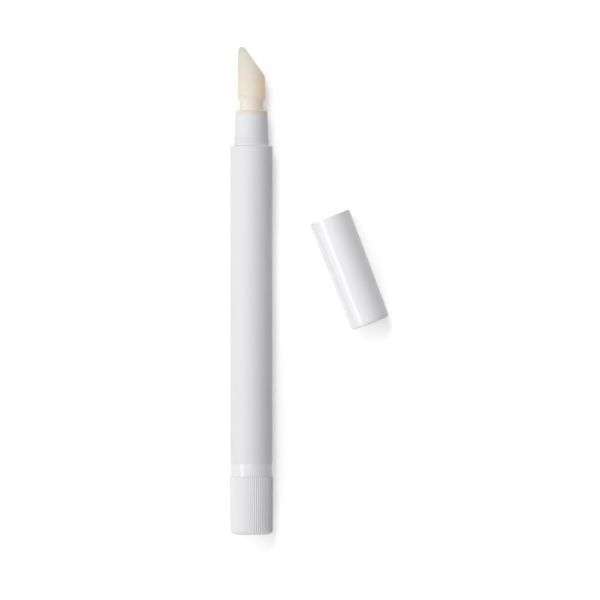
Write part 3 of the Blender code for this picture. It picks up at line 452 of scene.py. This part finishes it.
# The face runs evenly from the edge's last ring in to the channel's mouth.
inward_share = np.array([0.03, 0.12, 0.3, 0.5, 0.7, 0.85, 0.95, 1])[:, None]
face_across = edge_across[-1] + inward_share * (channel_radius * np.cos(tip_turn) - edge_across[-1])
face_up = edge_up[-1] + inward_share * (channel_radius * np.sin(tip_turn) - edge_up[-1])
tip_inside = np.array([
    (channel_radius, tip_low.y + tip_tube_top),
    (tip_tube_hole, tip_low.y + tip_tube_top),
    (tip_tube_hole, tip_low.y + tip_socket_top),
    (tip_socket, tip_low.y + tip_socket_top),
])
scrub_tip = shell("scrub_tip", np.vstack([
    turned_on_pen(tip_foot, tip_sides),
    np.stack([pen_x + side_radius * np.cos(tip_turn), side_station,
              pen_z + side_radius * np.sin(tip_turn)], axis=-1),
    np.stack([pen_x + edge_across, edge_along, pen_z + edge_up], axis=-1),
    np.stack([pen_x + face_across, face_level(face_across), pen_z + face_up], axis=-1),
    turned_on_pen(tip_inside, tip_sides),
]))

# The silicone is palest in the flange and greyer towards the apex. Light goes far into it, less far
# in the thin neck, and least at its two ends.
body_cream = (0.842, 0.752, 0.668)
apex_cream = (0.74, 0.664, 0.59)
neck_cream = (0.845, 0.763, 0.672)
flange_cream = (0.935, 0.85, 0.75)
mottle_cream = (0.66, 0.575, 0.475)
mottle_most = 0.16
neck_tint_end = tip_body - 0.0026
body_tint_start = tip_body + 0.0006
apex_tint_full = tip_high.y - 0.001
flange_tint_end = flange_top + 0.0006
root_depth = 0.5
root_depth_end = flange_top + 0.0018
apex_depth = 0.25
apex_depth_start = tip_high.y - 0.0034
apex_depth_full = tip_high.y - 0.0004
body_glow = 0.019
neck_glow = 0.0115
scrub_share = 0.25
silicone, silicone_shader, silicone_place = new_finish("cream_silicone", (0.80, 0.74, 0.62))
tip_station = add(silicone, "ShaderNodeSeparateXYZ", {"Vector": silicone_place})["Y"]
root_share = ranged(silicone, tip_station, low=neck_tint_end, high=body_tint_start, first=1, last=0,
                    interpolation_type="SMOOTHSTEP")
apex_share = ranged(silicone, tip_station, low=tip_body, high=apex_tint_full, first=0, last=1)
flange_share = ranged(silicone, tip_station, low=flange_top, high=flange_tint_end, first=1, last=0)
body_tint = mixed(silicone, apex_share, body_cream, apex_cream)
root_tint = mixed(silicone, flange_share, neck_cream, flange_cream)
plain_tint = mixed(silicone, root_share, body_tint, root_tint)
silicone_cloud = noise(silicone, silicone_place, scale=1300, detail=4)
mottle = ranged(silicone, silicone_cloud, low=0.35, high=0.65, first=0, last=mottle_most)
depth_from_root = ranged(silicone, tip_station, low=flange_top, high=root_depth_end,
                         first=root_depth, last=1)
depth_from_apex = ranged(silicone, tip_station, low=apex_depth_start, high=apex_depth_full,
                         first=1, last=apex_depth)
silicone_depth = add(silicone, "ShaderNodeMath", {0: depth_from_root, 1: depth_from_apex},
                     operation="MULTIPLY")["Value"]
scrub_grain = add(silicone, "ShaderNodeTexVoronoi",
                  {"Vector": silicone_place, "Scale": 3600})["Distance"]
silicone_wave = noise(silicone, silicone_place, scale=800, detail=3)
silicone_relief = add(silicone, "ShaderNodeMath",
                      {0: scrub_grain, 1: scrub_share, 2: silicone_wave},
                      operation="MULTIPLY_ADD")["Value"]
silicone_shader.subsurface_method = "BURLEY"
connect(silicone, silicone_shader, {
    "Base Color": mixed(silicone, mottle, plain_tint, mottle_cream),
    "Roughness": ranged(silicone, silicone_cloud, low=0.3, high=0.7, first=0.42, last=0.56),
    "Normal": raised(silicone, silicone_relief, depth=0.000018),
    "IOR": 1.41,
    "Subsurface Weight": silicone_depth,
    "Subsurface Radius": (1.0, 0.62, 0.4),
    "Subsurface Scale": ranged(silicone, root_share, low=0, high=1,
                               first=body_glow, last=neck_glow),
})
fit(scrub_tip, "barrel", "cream_silicone", silicone, "slant_tip")


# Drive housing, feed nut, drive tube, knob insert, click crown and piston seat. A sleeve fixed in
# the barrel with its nut, and what turns in it, snapped and keyed together. Acetal, a hard waxy
# plastic for parts that rub, is a warmer white than the shells, with fine rubs across the pen.
acetal, acetal_shader = moulded_plastic(
    "white_acetal", colour=(0.76, 0.75, 0.72), cloud=(0.72, 0.71, 0.675),
    grain=5200, grain_depth=0.0000012, roughness=0.28, spread=0.06, along=(1, 1, 0.03))
connect(acetal, acetal_shader, {
    "Subsurface Weight": 0.15, "Subsurface Radius": (1.0, 0.9, 0.7), "Subsurface Scale": 0.0006})
dress(acetal, "drive_housing", "feed_nut", "drive_tube", "knob_insert", "click_crown",
      "piston_seat")


# Piston. Soft polyethylene, moulded with a wiping lip at each end and a cavity that grips its seat.
# It is waxy, and a little blue beside the acetal.
soft_white, soft_shader = moulded_plastic(
    "soft_polyethylene", colour=(0.72, 0.73, 0.74), cloud=(0.67, 0.685, 0.70),
    grain=2400, grain_depth=0.0000016, roughness=0.45, spread=0.05)
connect(soft_white, soft_shader, {
    "Subsurface Weight": 0.4, "Subsurface Radius": (1.0, 1.0, 0.95), "Subsurface Scale": 0.001})
dress(soft_white, "piston")


# Click spring. Drawn stainless wire in four turns, held between the drive tube's flange and the
# crown, which it presses on the housing's teeth. Drawing leaves fine lines along the wire, from
# dark and shiny to pale and dull.
dark_line = (0.48, 0.48, 0.49)
pale_line = (0.62, 0.62, 0.63)
steel, steel_shader, steel_place = new_finish("spring_steel", (0.55, 0.55, 0.56))
drawn = add(steel, "ShaderNodeMapping", {"Vector": steel_place, "Scale": (1, 6, 1)})["Vector"]
drawn_lines = noise(steel, drawn, scale=4000, detail=4)
connect(steel, steel_shader, {
    "Base Color": mixed(steel, drawn_lines, dark_line, pale_line),
    "Roughness": ranged(steel, drawn_lines, low=0, high=1, first=0.2, last=0.42),
    "Normal": raised(steel, drawn_lines, depth=0.000002),
    "Metallic": 1,
})
dress(steel, "click_spring")


# Collar ring. Glossy white ABS from a polished mould, a little crowned along its length, which
# gives it an oval highlight. It is pushed over the housing's spigot and held by an inner rib.
collar_low, collar_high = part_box("collar_ring")
knob_low, knob_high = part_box("knob_shell")
turning_gap = 0.00002
collar_radius = (collar_high.x - collar_low.x) / 2
collar_bore = 0.00479
collar_rib = 0.00459
collar_rib_half = 0.0004
collar_crown = 0.00002
collar_round = 0.00005
collar_rear = knob_high.y + turning_gap
collar_front = barrel_rear - seam
collar_middle = (collar_rear + collar_front) / 2
collar_half = (collar_front - collar_rear) / 2
crown_share = np.linspace(-0.85, 0.85, 9)
collar_band = shell("collar_band", turned_on_pen(filleted([
    (collar_bore, collar_rear),
    (collar_radius - collar_crown, collar_rear, collar_round),
    *zip(collar_radius - collar_crown * crown_share ** 2,
         collar_middle + crown_share * collar_half),
    (collar_radius - collar_crown, collar_front, collar_round),
    (collar_bore, collar_front),
    (collar_bore, collar_middle + collar_rib_half),
    (collar_rib, collar_middle + collar_rib_half),
    (collar_rib, collar_middle - collar_rib_half),
    (collar_bore, collar_middle - collar_rib_half),
])))
gloss_white, gloss_shader = moulded_plastic(
    "gloss_white_plastic", colour=(0.87, 0.865, 0.883), cloud=(0.86, 0.855, 0.873),
    grain=260, grain_depth=0.000002, roughness=0.09, spread=0.02)
connect(gloss_white, gloss_shader, {"IOR": 1.5})
fit(collar_band, "barrel", "gloss_white", gloss_white, "collar_ring")


# Knob. A shell moulded in satin white polypropylene, with 64 fine ribs for the fingers, which fade
# out over its rounded end. It snaps over the housing's bead and turns on its spigot.
knob_radius = (knob_high.x - knob_low.x) / 2
knob_rear = knob_low.y
knob_front = knob_high.y
knob_ribs = 64
rib_sides = 16
knob_sides = rib_sides * knob_ribs
rib_depth = 0.00012
rib_start = math.radians(90)
rib_fade_start = 25
rib_fade_end = 55
end_radial = 0.0019
end_axial = 0.0012
side_start = knob_rear + 1.3 * end_axial
side_end = knob_front - 0.00016
front_edge_reach = 0.00005
front_edge_length = 0.00004
front_edge_middle = 0.000015
knob_bore = 0.00484
knob_groove = 0.00517
knob_groove_half = 0.0004
knob_groove_slope = 0.0003
knob_groove_station = knob_front - 0.0023
knob_floor = knob_rear + 0.0013

# The outside is a flat end, a quarter of an oval, the straight side, and a small front edge.
flat_share = np.array([0, 0.35, 0.63])
flat_end = np.stack([knob_radius * flat_share, np.full(3, knob_rear)], axis=-1)
end_turn = np.linspace(0, math.pi / 2, 13)[1:]
end_curve = np.stack([knob_radius - end_radial + end_radial * np.sin(end_turn),
                      knob_rear + end_axial * (1 - np.cos(end_turn))], axis=-1)
straight_side = np.stack([np.full(9, knob_radius), np.linspace(side_start, side_end, 9)], axis=-1)
front_edge = np.array([
    (knob_radius, knob_front - front_edge_length),
    (knob_radius - front_edge_middle, knob_front - front_edge_middle),
    (knob_radius - front_edge_reach, knob_front),
])
knob_inside = np.array([
    (knob_bore, knob_front),
    (knob_bore, knob_groove_station + knob_groove_half + knob_groove_slope),
    (knob_groove, knob_groove_station + knob_groove_half),
    (knob_groove, knob_groove_station - knob_groove_half),
    (knob_bore, knob_groove_station - knob_groove_half - knob_groove_slope),
    (knob_bore, knob_floor),
    (0.5 * knob_bore, knob_floor),
    (0, knob_floor),
])
knob_profile = np.vstack([flat_end, end_curve, straight_side, front_edge, knob_inside])
knob_grid = turned_on_pen(knob_profile, knob_sides)

# Ribs: the radius loses depth * (1 - cos(ribs * t + start)) / 2. Over the rounded end they fade
# with a smooth step of its turn in degrees, 3 * share squared - 2 * share cubed.
knob_turn = np.linspace(0, math.tau, knob_sides, endpoint=False)
valley = rib_depth * (1 - np.cos(knob_ribs * knob_turn + rib_start)) / 2
fade_share = (np.degrees(end_turn) - rib_fade_start) / (rib_fade_end - rib_fade_start)
fade_share = np.clip(fade_share, 0, 1)
fade = np.concatenate([
    np.zeros(len(flat_end)),
    fade_share ** 2 * (3 - 2 * fade_share),
    np.ones(len(straight_side) + len(front_edge)),
    np.zeros(len(knob_inside)),
])
cut = fade[:, None] * valley
knob_grid[..., 0] -= cut * np.cos(knob_turn)
knob_grid[..., 2] -= cut * np.sin(knob_turn)
knob_grip = shell("knob_grip", knob_grid, closed=False)
# Its white is a copy of the barrel's satin white, painted a little lighter to offset the shade between its ribs.
grip_white_painted_lighter, grip_shader = moulded_plastic(
    "ribbed_satin_painted_lighter", colour=(0.845, 0.84, 0.86), cloud=(0.832, 0.827, 0.848),
    grain=7000, grain_depth=0.0000016, roughness=0.4, spread=0.035)
connect(grip_white_painted_lighter, grip_shader, {"IOR": 1.49, "Specular IOR Level": 0.2})
fit(knob_grip, "knob", "satin_white", grip_white_painted_lighter, "knob_shell")


# Cap. Glossy white ABS from a polished mould, taken off and laid beside the pen. A bead inside its
# mouth snaps over the neck ring.
cap_joint = next(joint for joint in frame["joints"] if joint["child"] == "cap")
cap_mount = next(mount for mount in frame["record"]["mounts"] if mount["name"] == "cap_end")
cap_length = 0.031
cap_way = np.array(cap_joint["axis"])
cap_across = np.array([-cap_way[1], cap_way[0], 0])
cap_mouth = np.array(cap_mount["pos_m"]) - cap_length * cap_way
cap_radius = cap_mount["pos_m"][2]
cap_draft = 0.00025
cap_end_round = 0.001
cap_mouth_round = 0.00012
cap_bore = 0.00485
cap_bore_round = 0.00015
cap_end_wall = 0.0012
cap_floor = cap_length - cap_end_wall
cap_bead = 0.00465
cap_bead_round = 0.0001
cap_bead_start = 0.00208
cap_bead_slope = 0.00025
cap_bead_flat = 0.0003


def turned_on_cap(profile, sides=round_sides):
    """Grid turned about the cap: mouth + station * way + r cos t * across + r sin t * up."""
    turn = np.linspace(0, math.tau, sides, endpoint=False)[:, None]
    circle = np.cos(turn) * cap_across + np.sin(turn) * np.array([0, 0, 1])
    return cap_mouth + profile[:, None, 1:] * cap_way + profile[:, None, :1] * circle


cap_end_share = np.array([0, 0.4, 0.7])
cap_side_share = np.linspace(0.9, 0.06, 8)
cap_body = shell("cap_body", turned_on_cap(filleted([
    *zip(cap_radius * cap_end_share, np.full(3, cap_length)),
    (cap_radius - cap_draft, cap_length, cap_end_round),
    *zip(cap_radius - cap_draft * cap_side_share, cap_length * cap_side_share),
    (cap_radius, 0, cap_mouth_round),
    (cap_bore, 0, cap_bore_round),
    (cap_bore, cap_bead_start),
    (cap_bead, cap_bead_start + cap_bead_slope, cap_bead_round),
    (cap_bead, cap_bead_start + cap_bead_slope + cap_bead_flat, cap_bead_round),
    (cap_bore, cap_bead_start + 2 * cap_bead_slope + cap_bead_flat),
    (cap_bore, cap_floor),
    (0, cap_floor),
], steps=10)), closed=False)
# Its white is a copy of the collar's gloss white, painted lighter to stand for the stronger light that falls on
# the cap.
cap_white_painted_lighter, cap_shader = moulded_plastic(
    "cap_gloss_painted_lighter", colour=(0.925, 0.92, 0.937), cloud=(0.915, 0.91, 0.927),
    grain=260, grain_depth=0.000002, roughness=0.09, spread=0.02)
connect(cap_white_painted_lighter, cap_shader, {"IOR": 1.5})
fit(cap_body, "cap", "gloss_white", cap_white_painted_lighter, "cap_shell")


# Inner cup of the cap, in the same clouded polypropylene as the rod. It is pressed to the cap's
# end, and its rim meets the tip's flange when the cap is on, so that the tip doesn't dry out.
cup_start = 0.00963
cup_end = cap_floor - seam
cup_radius = 0.00478
cup_end_round = 0.0001
cup_rim_round = 0.00012
cup_bore = 0.00405
cup_bore_round = 0.00015
cup_floor = cup_end - 0.0008
cup_floor_round = 0.0006
cap_cup = shell("cap_cup", turned_on_cap(filleted([
    (0, cup_end),
    (cup_radius, cup_end, cup_end_round),
    (cup_radius, cup_start, cup_rim_round),
    (cup_bore, cup_start, cup_bore_round),
    (cup_bore, cup_floor, cup_floor_round),
    (0, cup_floor),
])), closed=False)
fit(cap_cup, "cap", "natural_plastic", natural, "cap_liner")


# Floor. A plain white paper sweep under the pen and cap. What the camera sees of it is lifted to
# white, and its shadow stays.
floor_reach = 6.0
floor_lift = 0.45
fibre_grey = (0.88, 0.88, 0.88)
fibre_white = (0.9, 0.9, 0.9)
floor_mesh = bpy.data.meshes.new("floor")
floor_mesh.from_pydata([(-floor_reach, -floor_reach, 0), (floor_reach, -floor_reach, 0),
                        (floor_reach, floor_reach, 0), (-floor_reach, floor_reach, 0)],
                       [], [(0, 1, 2, 3)])
floor = bpy.data.objects.new("floor", floor_mesh)
bpy.context.scene.collection.objects.link(floor)
paper = bpy.data.materials.new("white_sweep")
paper.use_nodes = True
paper.node_tree.nodes.clear()


def background_ray(owner):
    """1 where the camera sees a surface, by itself, mirrored or through something clear, else 0."""
    path = add(owner, "ShaderNodeLightPath", {})
    share = path["Is Camera Ray"]
    for way in ("Is Glossy Ray", "Is Transmission Ray"):
        share = add(owner, "ShaderNodeMath", {0: share, 1: path[way]}, operation="MAXIMUM")["Value"]
    return share


paper_lift = add(paper, "ShaderNodeMath", {0: background_ray(paper), 1: floor_lift},
                 operation="MULTIPLY")["Value"]
paper_place = add(paper, "ShaderNodeTexCoord", {})["Object"]
paper_fibre = noise(paper, paper_place, scale=700, detail=3)
paper_tint = mixed(paper, paper_fibre, fibre_grey, fibre_white)
paper_matt = add(paper, "ShaderNodeBsdfDiffuse", {"Color": paper_tint})["BSDF"]
paper_glow = add(paper, "ShaderNodeEmission",
                 {"Color": (1, 1, 1, 1), "Strength": paper_lift})["Emission"]
paper_sum = add(paper, "ShaderNodeAddShader", {0: paper_matt, 1: paper_glow})["Shader"]
add(paper, "ShaderNodeOutputMaterial", {"Surface": paper_sum})
floor_mesh.materials.append(paper)


# Light. Softboxes above, to the left and past the knob, and a brighter one past the tip, whose soft
# shadow falls to the right and towards the knob. A strip turned in line with the cap gives it its
# long highlight, and the room fills the rest.
lamp_distance = 0.8
room_radiance = 0.115


def softbox(name, tilt, width, low, high, radiance, turn=0.0, middle=(0.0, 0.0)):
    """Area lamp square to a ray that leans by tilt from straight up, to -x turned by turn about z.

    It reaches from low to high along y turned by turn, and its power is pi * area * radiance.
    """
    lamp = bpy.data.lights.new(name, "AREA")
    lamp.shape = "RECTANGLE"
    lamp.size = width
    lamp.size_y = high - low
    lamp.energy = math.pi * width * (high - low) * radiance
    holder = bpy.data.objects.new(name, lamp)
    holder.matrix_world = (
        Matrix.Translation((*middle, 0))
        @ Matrix.Rotation(turn, 4, "Z")
        @ Matrix.Rotation(-math.radians(tilt), 4, "Y")
        @ Matrix.Translation((0, (low + high) / 2, lamp_distance)))
    bpy.context.scene.collection.objects.link(holder)
    return holder


# The first lights the shells' left sides, and leaves no streak of its own in their gloss.
left_box = softbox("left_softbox", tilt=35, width=0.35, low=-0.2, high=0.3, radiance=1.35)
left_box.visible_glossy = False
softbox("lower_softbox", tilt=70, width=0.4, low=-0.3, high=0.3, radiance=3.0,
        turn=math.radians(75))
softbox("upper_softbox", tilt=10, width=0.2, low=0.3, high=0.8, radiance=12.7)
softbox("overhead_softbox", tilt=14, width=0.2, low=-0.05, high=0.3, radiance=2.5)
softbox("upper_left_softbox", tilt=35, width=0.4, low=0.3, high=0.8, radiance=1.35)
cap_middle = (cap_mouth + cap_length / 2 * cap_way)[:2]
softbox("cap_highlight_strip", tilt=52.5, width=0.28, low=-0.045, high=0.42, radiance=2.8,
        turn=math.atan2(cap_across[1], cap_across[0]), middle=tuple(cap_middle))

room = bpy.data.worlds.new("white_room")
room.use_nodes = True
room.node_tree.nodes.clear()
room_level = ranged(room, background_ray(room), low=0, high=1, first=room_radiance, last=1.0)
room_light = add(room, "ShaderNodeBackground",
                 {"Color": (1, 1, 1, 1), "Strength": room_level})["Background"]
add(room, "ShaderNodeOutputWorld", {"Surface": room_light})
bpy.context.scene.world = room


# Camera. Straight above the pen and cap, as in the photograph, with a long lens from four metres
# up, so that there is almost no perspective.
photo_width = 0.162
photo_centre = (pen_x + 0.01315, -0.002494)
camera_height = 4.0
sensor_width = 36
lens_data = bpy.data.cameras.new("photo_camera")
lens_data.sensor_fit = "HORIZONTAL"
lens_data.sensor_width = sensor_width
lens_data.lens = sensor_width * (camera_height - pen_z) / photo_width
lens_data.clip_start = 0.01
lens_data.clip_end = 20
camera = bpy.data.objects.new("photo_camera", lens_data)
camera.location = (*photo_centre, camera_height)
bpy.context.scene.collection.objects.link(camera)
bpy.context.scene.camera = camera
bpy.context.scene.view_settings.view_transform = "Standard"
